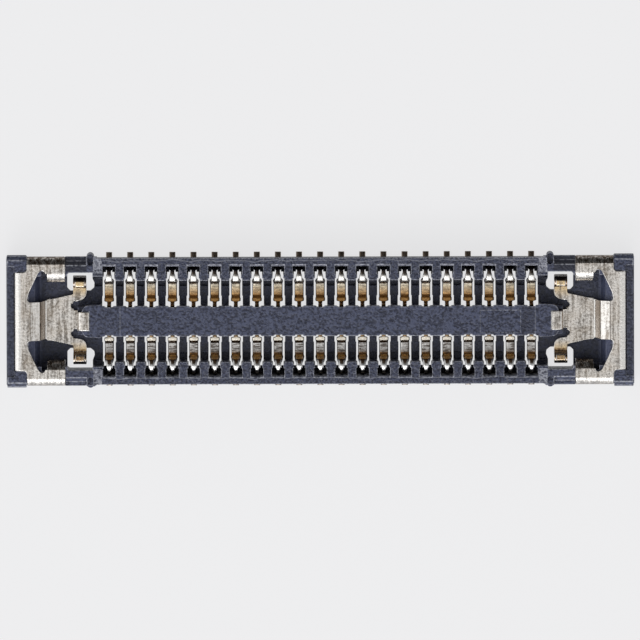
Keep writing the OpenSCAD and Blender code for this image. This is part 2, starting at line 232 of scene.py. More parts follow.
def makeSoftbox(name, v):
    # A rectangular lamp that looks at the middle of the part.
    data = bpy.data.lights.new(name, "AREA")
    data.shape = "RECTANGLE"
    data.size, data.size_y = (side * mm for side in v["size"])
    data.energy = v["watts"]
    lamp = bpy.data.objects.new(name, data)
    bpy.context.scene.collection.objects.link(lamp)
    place = Vector(v["place"])
    lamp.location = place * mm
    lamp.rotation_mode = "QUATERNION"
    lamp.rotation_quaternion = (-place).to_track_quat("-Z", "Y")


makeFloor(stageValues)
makeSurroundings(stageValues, lightValues)
makeSoftbox("frontSoftbox", softboxValues)
print("stage ready")


# Effects that more than one finish uses are node groups, built once.


def newGroup(name, inputs, outputs):
    group = bpy.data.node_groups.new(name, "ShaderNodeTree")
    for label, kind, value in inputs:
        socket = group.interface.new_socket(label, in_out="INPUT", socket_type=kind)
        socket.default_value = value
    for label, kind in outputs:
        group.interface.new_socket(label, in_out="OUTPUT", socket_type=kind)
    return group, nodeIn(group, "NodeGroupInput"), nodeIn(group, "NodeGroupOutput")


def millimetreCoords(tree, stretch=(1.0, 1.0, 1.0)):
    coords = nodeIn(tree, "ShaderNodeTexCoord")
    mapping = nodeIn(tree, "ShaderNodeMapping")
    mapping.inputs["Scale"].default_value = [s / mm for s in stretch]
    tree.links.new(coords.outputs["Object"], mapping.inputs["Vector"])
    return mapping.outputs["Vector"]


def buildGrainGroup():
    group, given, result = newGroup(
        "surfaceGrain",
        [("Scale", "NodeSocketFloat", 20.0), ("Roughness", "NodeSocketFloat", 0.6),
         ("Low", "NodeSocketFloat", 0.35), ("High", "NodeSocketFloat", 0.65)],
        [("Grain", "NodeSocketFloat")],
    )
    noise = nodeIn(group, "ShaderNodeTexNoise")
    noise.inputs["Detail"].default_value = 5.0
    group.links.new(millimetreCoords(group), noise.inputs["Vector"])
    group.links.new(given.outputs["Scale"], noise.inputs["Scale"])
    group.links.new(given.outputs["Roughness"], noise.inputs["Roughness"])
    spread = nodeIn(group, "ShaderNodeMapRange")
    group.links.new(noise.outputs[0], spread.inputs["Value"])
    group.links.new(given.outputs["Low"], spread.inputs["From Min"])
    group.links.new(given.outputs["High"], spread.inputs["From Max"])
    group.links.new(spread.outputs["Result"], result.inputs["Grain"])
    return group


def buildSpeckGroup():
    group, given, result = newGroup(
        "fineSpecks",
        [("Scale", "NodeSocketFloat", 25.0), ("Size", "NodeSocketFloat", 0.25),
         ("Share", "NodeSocketFloat", 0.3)],
        [("Specks", "NodeSocketFloat")],
    )
    cells = nodeIn(group, "ShaderNodeTexVoronoi")
    group.links.new(millimetreCoords(group), cells.inputs["Vector"])
    group.links.new(given.outputs["Scale"], cells.inputs["Scale"])
    split = nodeIn(group, "ShaderNodeSeparateColor")
    group.links.new(cells.outputs["Color"], split.inputs[0])
    chosen = mathNode(group, "LESS_THAN", split.outputs[0], given.outputs["Share"])
    spot = nodeIn(group, "ShaderNodeMapRange")
    spot.inputs["From Min"].default_value = 0.0
    spot.inputs["To Min"].default_value = 1.0
    spot.inputs["To Max"].default_value = 0.0
    group.links.new(given.outputs["Size"], spot.inputs["From Max"])
    group.links.new(cells.outputs["Distance"], spot.inputs["Value"])
    group.links.new(times(group, chosen, spot.outputs["Result"]), result.inputs["Specks"])
    return group


grainGroup = buildGrainGroup()
speckGroup = buildSpeckGroup()


def useGroup(tree, group, **values):
    node = nodeIn(tree, "ShaderNodeGroup", node_tree=group)
    for name, value in values.items():
        node.inputs[name].default_value = value
    return node.outputs[0]


def newFinish(name):
    mat = bpy.data.materials.new(name)
    mat.use_nodes = True
    tree = mat.node_tree
    return mat, tree, tree.nodes["Principled BSDF"]


def bumpFrom(tree, height, distance, strength):
    bump = nodeIn(tree, "ShaderNodeBump")
    bump.inputs["Distance"].default_value = distance * mm
    bump.inputs["Strength"].default_value = strength
    tree.links.new(height, bump.inputs["Height"])
    return bump.outputs["Normal"]


def placeOf(tree):
    # Object coordinates in millimetres.
    axes = nodeIn(tree, "ShaderNodeSeparateXYZ")
    tree.links.new(millimetreCoords(tree), axes.inputs[0])
    return axes.outputs["X"], axes.outputs["Y"], axes.outputs["Z"]


def band(tree, value, low, high, soft):
    # 1 between low and high, fading over the soft distance inside both.
    rise = remap(tree, value, low, low + soft)
    fall = remap(tree, value, high - soft, high, 1.0, 0.0)
    return times(tree, rise, fall)


def strengthOf(tree, mask, amount):
    # A mask scaled by a number or by another mask.
    return mathNode(tree, "MULTIPLY", mask, amount, clamp=True)


def between(tree, mask, off, on):
    # Goes from one amount to the other as the mask goes from 0 to 1.
    return remap(tree, mask, 0.0, 1.0, off, on)


def attributeOf(tree, name):
    return nodeIn(tree, "ShaderNodeAttribute", attribute_name=name).outputs["Fac"]


def stretchedNoise(tree, stretch, detail, low, high):
    noise = nodeIn(tree, "ShaderNodeTexNoise")
    noise.inputs["Scale"].default_value = 1.0
    noise.inputs["Detail"].default_value = detail
    tree.links.new(millimetreCoords(tree, stretch), noise.inputs["Vector"])
    return remap(tree, noise.outputs[0], low, high)


# Distances in millimetres; x and y are measured from the middle of the part, z from the board.
housingFinishValues = {
    "base": (0.003, 0.005, 0.019),
    "pale": (0.066, 0.078, 0.138),
    "speck": (0.24, 0.25, 0.31),
    "deep": (0.007, 0.009, 0.022),
    "edge": (0.36, 0.37, 0.42),
    "gate": (0.34, 0.35, 0.40),
    "grainScale": 25.0,
    "cloudScale": 5.0,
    "speckScale": 24.0,
    "swirlScale": 9.0,
    "weave": (9.0, 40.0, 9.0),
    "wallY": (0.66, 0.7),                                   # fading in of the side walls
    "wallX": (3.78, 3.72),                                  # and their ends
    "parting": ((0.995, 1.018), (-0.955, -0.935)),          # y of the mould's parting lines
    "wander": 0.03,                                         # how far these wander
    # x of the lines across the island, and how softly they end
    "insertLight": ((-3.33, -3.306, 0.008), (3.55, 3.575, 0.008)),
    "insertDark": ((-3.575, -3.548, 0.01), (3.33, 3.55, 0.012)),
    "gateX": (3.615, 3.77),
    "gateY": (0.795, 1.07),
    "endWallX": (5.04, 5.06),
    "endWallY": (0.94, 0.9),
    "blockX": (3.86, 4.24),                                 # end blocks, with painted shade on the far side
    "blockY": (0.8, 0.85),
    "guideX": (4.6, 4.82),                                  # moulding seen through the fittings, lightened with painted light
    "guideY": (0.3, 0.9),
}


def swirlLines(tree, scale, thickness):
    # Thin wavy lines, where a noise passes its middle value.
    noise = nodeIn(tree, "ShaderNodeTexNoise")
    noise.inputs["Scale"].default_value = scale
    noise.inputs["Detail"].default_value = 1.5
    noise.inputs["Distortion"].default_value = 0.8
    tree.links.new(millimetreCoords(tree), noise.inputs["Vector"])
    off = mathNode(tree, "SUBTRACT", noise.outputs[0], 0.5)
    off = mathNode(tree, "ABSOLUTE", off)
    return remap(tree, off, 0.2 * thickness, thickness, 1.0, 0.0)


def makeHousingFinish(v):
    mat, tree, skin = newFinish("mouldedResin")
    x, y, z = placeOf(tree)
    farX, farY = mathNode(tree, "ABSOLUTE", x), mathNode(tree, "ABSOLUTE", y)
    onWall = times(tree, remap(tree, farY, *v["wallY"]), remap(tree, farX, *v["wallX"]))
    cloud = useGroup(tree, grainGroup, Scale=v["cloudScale"], Roughness=0.55, Low=0.36, High=0.68)
    fine = useGroup(tree, grainGroup, Scale=v["grainScale"], Roughness=0.45, Low=0.40, High=0.60)
    specks = useGroup(tree, speckGroup, Scale=v["speckScale"], Size=0.36, Share=0.3)
    swirls = swirlLines(tree, v["swirlScale"], 0.035)
    weave = stretchedNoise(tree, v["weave"], 2.0, 0.42, 0.58)
    tone = mixColors(tree, strengthOf(tree, fine, between(tree, onWall, 0.85, 0.6)), v["base"], v["pale"])
    tone = mixColors(tree, strengthOf(tree, weave, between(tree, onWall, 0.25, 0.1)), tone, v["pale"])
    tone = mixColors(tree, strengthOf(tree, cloud, 0.08), tone, v["pale"])
    tone = mixColors(tree, strengthOf(tree, specks, between(tree, onWall, 0.2, 0.42)), tone, v["speck"])
    tone = mixColors(tree, strengthOf(tree, swirls, between(tree, onWall, 0.06, 0.28)), tone, v["speck"])
    # The moulding's parting lines wander along the outer part of both walls.
    wave = nodeIn(tree, "ShaderNodeTexNoise")
    wave.inputs["Scale"].default_value = 2.2
    wave.inputs["Detail"].default_value = 3.0
    tree.links.new(millimetreCoords(tree, (1.0, 0.0, 0.0)), wave.inputs["Vector"])
    wander = plus(tree, y, remap(tree, wave.outputs[0], 0.3, 0.7, -v["wander"], v["wander"]))
    parting = plus(tree, *(band(tree, wander, *line, 0.008) for line in v["parting"]))
    parting = times(tree, parting, remap(tree, farX, 3.62, 3.58))
    tone = mixColors(tree, strengthOf(tree, parting, 0.35), tone, v["edge"])
    # Lines that the mould's inserts leave across the island.
    onIsland = remap(tree, farY, 0.31, 0.29)
    light = plus(tree, *(band(tree, x, *line) for line in v["insertLight"]))
    dark = plus(tree, *(band(tree, x, *line) for line in v["insertDark"]))
    tone = mixColors(tree, times(tree, light, strengthOf(tree, onIsland, 0.22)), tone, v["edge"])
    tone = mixColors(tree, times(tree, dark, strengthOf(tree, onIsland, 0.45)), tone, v["deep"])
    # Painted shade: darker lower down, in the grooves and recesses.
    depth = remap(tree, z, 0.5, 0.16)
    tone = mixColors(tree, strengthOf(tree, depth, 0.45), tone, v["deep"])
    # The gate marks beside the ends of both rows are rough and pale.
    gate = times(tree, band(tree, farX, *v["gateX"], 0.01), band(tree, farY, *v["gateY"], 0.01))
    rough = larger(tree, swirlLines(tree, 11.0, 0.07), between(tree, fine, 0.12, 0.5))
    tone = mixColors(tree, times(tree, gate, rough), tone, v["gate"])
    # Painted shade on the end walls and on the far side of the end blocks.
    endWall = times(tree, remap(tree, farX, *v["endWallX"]), remap(tree, farY, *v["endWallY"]))
    tone = mixColors(tree, strengthOf(tree, endWall, 0.45), tone, v["deep"])
    farBlock = times(tree, band(tree, farX, *v["blockX"], 0.02), remap(tree, y, *v["blockY"]))
    tone = mixColors(tree, strengthOf(tree, farBlock, 0.9), tone, v["deep"])
    # Painted light on the moulding under the fittings' windows.
    underGuide = times(tree, band(tree, farX, *v["guideX"], 0.03), band(tree, farY, *v["guideY"], 0.05))
    tone = mixColors(tree, strengthOf(tree, underGuide, 0.8), tone, v["pale"])
    # Painted highlight along the rounded edges, clearest near the top.
    edgeGlint = times(tree, attributeOf(tree, "edgeGlint"), remap(tree, fine, 0.0, 0.8, 0.25, 1.0))
    edgeGlint = times(tree, edgeGlint, remap(tree, z, 0.4, 0.52, 0.12, 0.8))
    edgeGlint = times(tree, edgeGlint, between(tree, endWall, 1.0, 0.15))
    tone = mixColors(tree, edgeGlint, tone, v["edge"])
    tree.links.new(tone, skin.inputs["Base Color"])
    tree.links.new(between(tree, fine, 0.36, 0.55), skin.inputs["Roughness"])
    relief = plus(tree, fine, strengthOf(tree, swirls, between(tree, onWall, 0.2, 0.9)))
    tree.links.new(bumpFrom(tree, relief, 0.006, 0.7), skin.inputs["Normal"])
    return mat


# Distances in millimetres from the middle of the part.
fittingFinishValues = {
    "bright": (0.90, 0.86, 0.81),
    "dull": (0.24, 0.215, 0.19),
    "edge": (0.98, 0.96, 0.93),
    "warm": (0.58, 0.46, 0.33),
    "gold": (0.88, 0.62, 0.28),
    "steep": (0.30, 0.23, 0.17),
    "shade": (0.07, 0.05, 0.035),
    "front": (0.36, 0.35, 0.34),
    "curl": (0.20, 0.10, 0.04),
    "tip": (0.62, 0.40, 0.15),
    "blotchScale": 24.0,
    "broadScale": 4.0,
    "rolled": (26.0, 2.2, 26.0),      # stretch of the fine rolling streaks
    "drawn": (11.0, 0.5, 11.0),       # and of the broad ones
    "endBendX": (4.95, 4.98),
    "footX": (4.53, 4.568),           # painted highlight at the foot of the guide slope
    "creaseX": (4.79, 4.812),         # dark lines across the sheet
    "faintCreaseX": (4.842, 4.862),
    "armX": (3.8, 4.16),
    "armY": (0.36, 0.5),
    "armMiddleX": 3.985,
    "armCorner": (0.07, 0.085),
    "cornerY": (0.535, 0.8),
    "barY": (0.652, 0.8),
    "hollowY": (-0.665, -0.48),
    "tipY": (-0.64, -0.66),
    "wingY": (0.56, 0.6),
}


def makeFittingFinish(v):
    mat, tree, skin = newFinish("nickelPlate")
    skin.inputs["Metallic"].default_value = 1.0
    x, y = placeOf(tree)[:2]
    farX, farY = mathNode(tree, "ABSOLUTE", x), mathNode(tree, "ABSOLUTE", y)
    facing = nodeIn(tree, "ShaderNodeSeparateXYZ")
    tree.links.new(nodeIn(tree, "ShaderNodeNewGeometry").outputs["Normal"], facing.inputs[0])
    facingY, facingZ = facing.outputs["Y"], facing.outputs["Z"]
    blotch = useGroup(tree, grainGroup, Scale=v["blotchScale"], Roughness=0.7, Low=0.38, High=0.6)
    broad = useGroup(tree, grainGroup, Scale=v["broadScale"], Roughness=0.5, Low=0.4, High=0.66)
    rolled = stretchedNoise(tree, v["rolled"], 4.0, 0.38, 0.62)
    drawn = stretchedNoise(tree, v["drawn"], 2.0, 0.36, 0.6)
    height = plus(tree, strengthOf(tree, blotch, 0.4), strengthOf(tree, rolled, 0.38))
    height = plus(tree, height, strengthOf(tree, drawn, 0.22))
    tone = mixColors(tree, remap(tree, height, 0.22, 0.72), v["dull"], v["bright"])
    tone = mixColors(tree, strengthOf(tree, broad, 0.25), tone, v["warm"])
    # Painted highlight on the bends and at the foot of the guide slope, and dark lines across the sheet's
    # middle.
    middle = remap(tree, farY, 0.42, 0.38)
    onBend = band(tree, facingZ, 0.62, 0.98, 0.03)
    bendGlint = times(tree, onBend, remap(tree, height, 0.25, 0.7, 0.1, 0.75))
    endBend = times(tree, remap(tree, farX, *v["endBendX"]), remap(tree, facingZ, 0.4, 0.6))
    bendGlint = larger(tree, bendGlint, strengthOf(tree, endBend, 0.85))
    tone = mixColors(tree, bendGlint, tone, v["edge"])
    foot = times(tree, band(tree, farX, *v["footX"], 0.012), middle)
    tone = mixColors(tree, strengthOf(tree, foot, 0.85), tone, v["edge"])
    faint = strengthOf(tree, band(tree, farX, *v["faintCreaseX"], 0.008), 0.5)
    crease = plus(tree, band(tree, farX, *v["creaseX"], 0.008), faint)
    crease = times(tree, crease, remap(tree, drawn, 0.0, 0.6, 0.35, 0.8))
    tone = mixColors(tree, times(tree, crease, middle), tone, v["shade"])
    # The spring arms are gilded, with painted shade in the corners and hollows of their curls and a
    # painted highlight on the front arms' tips.
    arm = times(tree, band(tree, farX, *v["armX"], 0.05), remap(tree, farY, *v["armY"]))
    gilt = times(tree, arm, remap(tree, height, 0.15, 0.7, 0.2, 0.8))
    tone = mixColors(tree, gilt, tone, v["gold"])
    offMiddle = mathNode(tree, "ABSOLUTE", mathNode(tree, "SUBTRACT", farX, v["armMiddleX"]))
    corner = times(tree, remap(tree, offMiddle, *v["armCorner"]), band(tree, y, *v["cornerY"], 0.02))
    bar = band(tree, y, *v["barY"], 0.012)
    hollow = band(tree, y, *v["hollowY"], 0.02)
    hollow = times(tree, hollow, remap(tree, blotch, 0.1, 0.7, 1.0, 0.5))
    # Painted highlight on the tips of the front arms.
    tip = times(tree, remap(tree, y, *v["tipY"]), arm)
    tip = strengthOf(tree, tip, remap(tree, blotch, 0.2, 0.7, 0.5, 1.0))
    tone = mixColors(tree, tip, tone, v["tip"])
    curl = times(tree, larger(tree, larger(tree, corner, bar), hollow), arm)
    tone = mixColors(tree, strengthOf(tree, curl, 0.92), tone, v["curl"])
    # Painted shade on steep faces.
    steep = times(tree, remap(tree, facingZ, 0.6, 0.25), remap(tree, height, 0.3, 0.7, 0.9, 0.45))
    tone = mixColors(tree, steep, tone, v["steep"])
    # Painted highlight along the rounded edges.
    tone = mixColors(tree, strengthOf(tree, attributeOf(tree, "edgeGlint"), 0.7), tone, v["edge"])
    # The wings' rolls are streaked, with painted shade where they face the back and a lighter painted
    # shade where they face the front.
    onWing = remap(tree, farY, *v["wingY"])
    turned = times(tree, remap(tree, facingY, 0.03, 0.2), onWing)
    turned = times(tree, turned, remap(tree, height, 0.3, 0.75, 1.0, 0.55))
    tone = mixColors(tree, strengthOf(tree, turned, 0.95), tone, v["shade"])
    fronted = times(tree, remap(tree, facingY, -0.06, -0.3), onWing)
    fronted = times(tree, fronted, remap(tree, height, 0.3, 0.7, 1.0, 0.45))
    tone = mixColors(tree, fronted, tone, v["front"])
    tree.links.new(tone, skin.inputs["Base Color"])
    tree.links.new(between(tree, height, 0.32, 0.2), skin.inputs["Roughness"])
    tree.links.new(bumpFrom(tree, height, 0.004, 0.8), skin.inputs["Normal"])
    return mat


contactFinishValues = {
    # Tone at each distance from the centre line, in millimetres: row a, then row b. The stops hold the
    # plating's gold and grey, and also painted highlights, reflections and shade, which differ between the
    # rows.
    "a": (
        (0.20, (0.30, 0.18, 0.08)), (0.298, (0.22, 0.12, 0.05)), (0.306, (0.90, 0.46, 0.14)),
        (0.33, (0.99, 0.56, 0.20)), (0.346, (0.80, 0.40, 0.11)), (0.365, (0.34, 0.15, 0.04)),
        (0.39, (0.78, 0.40, 0.12)), (0.46, (0.92, 0.64, 0.36)), (0.55, (0.99, 0.86, 0.64)),
        (0.592, (0.99, 0.90, 0.76)), (0.60, (0.10, 0.07, 0.05)), (0.635, (0.14, 0.10, 0.07)),
        (0.658, (0.98, 0.95, 0.90)), (0.745, (0.98, 0.96, 0.92)), (0.79, (0.24, 0.19, 0.15)),
    ),
    "b": (
        (0.20, (0.60, 0.42, 0.24)), (0.288, (0.50, 0.32, 0.16)), (0.30, (0.99, 0.92, 0.78)),
        (0.348, (0.99, 0.93, 0.82)), (0.366, (0.16, 0.10, 0.06)), (0.388, (0.20, 0.14, 0.10)),
        (0.402, (0.92, 0.90, 0.88)), (0.50, (0.70, 0.68, 0.66)), (0.55, (0.55, 0.48, 0.42)),
        (0.565, (0.34, 0.17, 0.06)), (0.59, (0.42, 0.22, 0.08)), (0.602, (0.99, 0.58, 0.20)),
        (0.632, (0.99, 0.54, 0.15)), (0.642, (0.26, 0.14, 0.06)), (0.70, (0.30, 0.22, 0.16)),
        (0.73, (0.98, 0.98, 0.98)), (0.80, (0.95, 0.95, 0.95)), (0.86, (0.26, 0.23, 0.20)),
    ),
    "scratch": (0.13, 0.10, 0.08),
    "outline": (0.10, 0.065, 0.04),
    "rim": (0.98, 0.97, 0.95),
    "grainScale": 22.0,
    "scoring": (7.0, 34.0, 34.0),     # stretch of the scratches across the strip
    # Stretches of the strip, as distances from the centre line.
    "flat": (0.38, 0.6),
    "rimReach": (0.635, 0.77),        # painted highlight on the legs' edges in row b
    "crest": (0.295, 0.35),           # painted shade at the ends of row a's crest
    "bend": (0.585, 0.66),            # and of row b's bend
    "lowMetalRamp": (0.302, 0.42),        # less metallic on row a's ramp, so its painted tones show
    "lowMetalBend": (0.588, 0.645),       # and in row b's bend
}


def toneRamp(tree, value, stops):
    ramp = nodeIn(tree, "ShaderNodeValToRGB")
    elements = ramp.color_ramp.elements
    while len(elements) < len(stops):
        elements.new(0.5)
    for element, (place, tone) in zip(elements, stops):
        element.position = place
        element.color = (*tone, 1.0)
    tree.links.new(value, ramp.inputs[0])
    return ramp.outputs[0]


def makeContactFinish(v):
    mat, tree, skin = newFinish("goldOverNickel")
    y = placeOf(tree)[1]
    reach = mathNode(tree, "ABSOLUTE", y)
    inRowB = mathNode(tree, "LESS_THAN", y, 0.0)
    inRowA = mathNode(tree, "SUBTRACT", 1.0, inRowB)
    grain = useGroup(tree, grainGroup, Scale=v["grainScale"], Roughness=0.65, Low=0.36, High=0.66)
    tone = mixColors(tree, inRowB, toneRamp(tree, reach, v["a"]), toneRamp(tree, reach, v["b"]))
    scratches = stretchedNoise(tree, v["scoring"], 3.0, 0.49, 0.57)
    onFlat = times(tree, band(tree, reach, *v["flat"], 0.04), between(tree, inRowB, 0.42, 0.85))
    tone = mixColors(tree, times(tree, scratches, onFlat), tone, v["scratch"])
    outward = mathNode(tree, "ABSOLUTE", attributeOf(tree, "across"))
    # Painted highlight on the legs' edges in row b.
    rim = times(tree, remap(tree, outward, 0.42, 0.55), band(tree, reach, *v["rimReach"], 0.02))
    tone = mixColors(tree, times(tree, rim, inRowB), tone, v["rim"])
    # Painted shade: dark lines along the edges, and at both ends of the crest and of the bend.
    outline = times(tree, remap(tree, outward, 0.8, 0.92), remap(tree, reach, 0.62, 0.58))
    crestEnds = times(tree, band(tree, reach, *v["crest"], 0.012), inRowA)
    bendEnds = times(tree, band(tree, reach, *v["bend"], 0.012), inRowB)
    ends = times(tree, plus(tree, crestEnds, bendEnds), remap(tree, outward, 0.6, 0.8))
    tone = mixColors(tree, strengthOf(tree, larger(tree, outline, ends), 0.85), tone, v["outline"])
    own = between(tree, attributeOf(tree, "tint"), 0.82, 1.0)
    level = times(tree, own, between(tree, grain, 0.72, 1.0))
    shade = nodeIn(tree, "ShaderNodeCombineColor")
    for socket in shade.inputs[:3]:
        tree.links.new(level, socket)
    tone = mixColors(tree, 1.0, tone, shade.outputs[0], blend="MULTIPLY")
    # Less metallic on row a's ramp and in row b's bend, so that the painted highlights there show as plain
    # colour.
    inBend = times(tree, band(tree, reach, *v["lowMetalBend"], 0.01), inRowB)
    onRamp = times(tree, band(tree, reach, *v["lowMetalRamp"], 0.012), inRowA)
    soft = larger(tree, inBend, onRamp)
    tree.links.new(between(tree, soft, 1.0, 0.45), skin.inputs["Metallic"])
    tree.links.new(tone, skin.inputs["Base Color"])
    tree.links.new(between(tree, grain, 0.34, 0.22), skin.inputs["Roughness"])
    tree.links.new(bumpFrom(tree, grain, 0.004, 0.6), skin.inputs["Normal"])
    return mat


resin = makeHousingFinish(housingFinishValues)
nickel = makeFittingFinish(fittingFinishValues)
gold = makeContactFinish(contactFinishValues)
print("finishes ready")


def newObject(name, mesh):
    obj = bpy.data.objects.new(name, mesh)
    bpy.context.scene.collection.objects.link(obj)
    return obj


def evaluated(obj, name):
    # The result of an object's modifiers as a plain mesh; the working object is deleted.
    graph = bpy.context.evaluated_depsgraph_get()
    done = obj.evaluated_get(graph)
    mesh = bpy.data.meshes.new_from_object(done, preserve_all_data_layers=True, depsgraph=graph)
    mesh.name = name
    bpy.data.objects.remove(obj)
    return mesh


def toMetres(mesh):
    for vertex in mesh.vertices:
        vertex.co = vertex.co * mm
    mesh.update()


def finishPiece(name, mesh, material, nodes):
    mesh.materials.clear()
    mesh.materials.append(material)
    piece = newObject(name, mesh)
    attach(piece, "root")
    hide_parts(*nodes)
    print(name, len(mesh.polygons), "faces")


def cutSheets(work, v):
    # Parts the flat faces along planes, so that no face has a hole or a long thin corner.
    for axis in (0, 1):
        normal = [1.0 if k == axis else 0.0 for k in range(3)]
        for place in v["cuts"][axis]:
            geometry = work.verts[:] + work.edges[:] + work.faces[:]
            where = [place * n for n in normal]
            cut = bmesh.ops.bisect_plane(work, geom=geometry, dist=1e-5, plane_co=where, plane_no=normal)
            for part in cut["geom_cut"]:
                if isinstance(part, bmesh.types.BMEdge):
                    part.seam = True
    flat = math.radians(v["flatAngle"])
    bmesh.ops.dissolve_limit(work, angle_limit=flat, verts=work.verts, edges=work.edges, delimit={"SEAM"})


def softenedCopy(node, name, v):
    # A merged copy of a CAD node, in millimetres, with its sharp edges rounded as far as there is room.
    # The rounded edges carry the attribute "edgeGlint", where the finishes paint a highlight: they are
    # told by the draft's second material.
    work = bmesh.new()
    work.from_mesh(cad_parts[node].data)
    bmesh.ops.scale(work, vec=(1 / mm, 1 / mm, 1 / mm), verts=work.verts)
    bmesh.ops.remove_doubles(work, verts=work.verts, dist=v["merge"])
    cutSheets(work, v)
    share = work.edges.layers.float.new("bevel_weight_edge")
    room = {vert: min(edge.calc_length() for edge in vert.link_edges) for vert in work.verts}
    sharp = math.radians(v["edgeAngle"])
    for edge in work.edges:
        if edge.is_manifold and edge.calc_face_angle() > sharp:
            edge[share] = min(1.0, v["room"] * min(room[vert] for vert in edge.verts) / v["edge"])
    for face in work.faces:
        face.smooth = True
        face.material_index = 0
    mesh = bpy.data.meshes.new(name + "Draft")
    work.to_mesh(mesh)
    work.free()
    mesh.materials.append(resin)
    mesh.materials.append(nickel)
    obj = newObject(name + "Draft", mesh)
    bevel = obj.modifiers.new("edges", "BEVEL")
    bevel.width = v["edge"]
    bevel.segments = v["edgeSteps"]
    bevel.limit_method = "WEIGHT"
    bevel.use_clamp_overlap = False
    bevel.material = 1
    shading = obj.modifiers.new("shading", "WEIGHTED_NORMAL")
    shading.mode = "FACE_AREA"
    shading.weight = 90
    shading.keep_sharp = True
    result = evaluated(obj, name)
    edgeGlint = result.attributes.new("edgeGlint", "FLOAT", "FACE")
    for face in result.polygons:
        edgeGlint.data[face.index].value = face.material_index
        face.material_index = 0
    for vertex in result.vertices:
        vertex.co.z = max(vertex.co.z, 0.0)  # a bevel never goes below the board's surface
    toMetres(result)
    return result


endX = rowLength / 2    # the last contact's place
betweenContacts = [pitch * (i - contactCount / 2) for i in range(contactCount + 1)]
housingValues = {
    "edge": 0.012,       # rounding of the edges
    "edgeSteps": 2,
    "edgeAngle": 30.0,   # an edge with a sharper fold than this is rounded
    "room": 0.42,        # share of the shortest edge beside it that a rounding may take
    "flatAngle": 0.5,
    "merge": 0.00005,
    "cuts": (            # x, then y, of the planes that part the flat faces
        betweenContacts + [side * (endX + x) for side in (-1, 1) for x in (0.48, 0.9, 1.2)],
        [-0.9, -0.6, 0.0, 0.6, 0.9],
    ),
}
housingMesh = softenedCopy("housing", "mouldedHousing", housingValues)
finishPiece("mouldedHousing", housingMesh, resin, ["housing"])

fittingValues = {
    "edge": 0.013,
    "edgeSteps": 2,
    "edgeAngle": 32.0,
    "room": 0.42,
    "flatAngle": 0.5,
    "merge": 0.00005,
    "cuts": (
        [side * (endX + x) for side in (-1, 1) for x in (0.59, 0.9, 1.15, 1.3)],
        [-0.9, -0.23, 0.0, 0.23, 0.9],
    ),
}
for side in ("left", "right"):
    node = "end_fitting_" + side
    label = "endFitting" + side.capitalize()
    finishPiece(label, softenedCopy(node, label, fittingValues), nickel, [node])


contactValues = {
    "thickness": 0.06,
    "edge": (0.03, 0.018),       # rounding of the sheared edges, across the strip and through it
    "edgeSteps": 3,
    "bendSteps": 6,              # parts of each bend's arc
    "tailBend": 0.05,
    "archY": 0.745,
    "archR": 0.09,
    "archZ": 0.52,
    "waistZ": (0.36, 0.31, 0.26),     # the inner leg's shallow waist, and how deep it is
    "waistDepth": 0.012,
    "smallBend": 0.03,
    "grooveZ": 0.09,
    "grooveBend": 0.1,
    "rampY": (0.385, 0.347),          # foot and top of the ramp
    "rampBend": 0.025,
    "crestRise": (0.066, 0.074),      # height of the crest's two ends over the groove strip
    "crestBend": 0.045,
    "springY": 0.245,
    "springZ": (0.39, 0.43),
    "springBend": 0.05,
    "springLean": 0.015,
    "widths": (      # distance from the centre line, half width of the strip there
        (2.0, 0.05), (0.875, 0.05), (0.86, 0.034), (0.795, 0.034), (0.75, 0.048), (0.69, 0.053),
        (0.63, 0.084), (0.6, 0.075), (0.37, 0.075), (0.355, 0.072), (0.345, 0.081), (0.31, 0.081),
        (0.3, 0.072), (0.29, 0.034), (0.0, 0.034),
    ),
    "footZ": 0.1,    # below this height the strip is as wide as its tail
    "seed": 7,
}


tiny = 1e-4    # mm


def roundedPath(rows, steps):
    # Rows of (y, z, bend radius) -> points with the bends as arcs.
    points = []
    for i, (y, z, r) in enumerate(rows):
        here = Vector((y, z))
        if r == 0 or i in (0, len(rows) - 1):
            points.append(here)
            continue
        back = (Vector(rows[i - 1][:2]) - here).normalized()
        ahead = (Vector(rows[i + 1][:2]) - here).normalized()
        half = back.angle(ahead) / 2
        hub = here + (back + ahead).normalized() * (r / math.sin(half))
        start = here + back * (r / math.tan(half)) - hub
        way = 1 if (-back).cross(ahead) > 0 else -1
        for k in range(steps + 1):
            points.append(hub + start @ Matrix.Rotation(-way * (math.pi - 2 * half) * k / steps, 2))
    return points


def halfWidth(y, z, v):
    table = v["widths"]
    if z < v["footZ"] + tiny and y > v["archY"]:
        return table[0][1]
    for (far, wide), (near, narrow) in zip(table, table[1:]):
        if y >= near:
            return narrow + (wide - narrow) * (y - near) / (far - near)
    return table[-1][1]


def withWidths(points, v):
    # Adds a point wherever the table names a distance, and the half width to every point.
    cut = [points[0]]
    for a, b in zip(points, points[1:]):
        low, high = sorted((a.x, b.x))
        inside = [y for y, half in v["widths"] if low + tiny < y < high - tiny]
        shares = sorted((y - a.x) / (b.x - a.x) for y in inside)
        cut += [a.lerp(b, share) for share in shares] + [b]
    return [(p.x, p.y, halfWidth(p.x, p.y, v)) for p in cut]


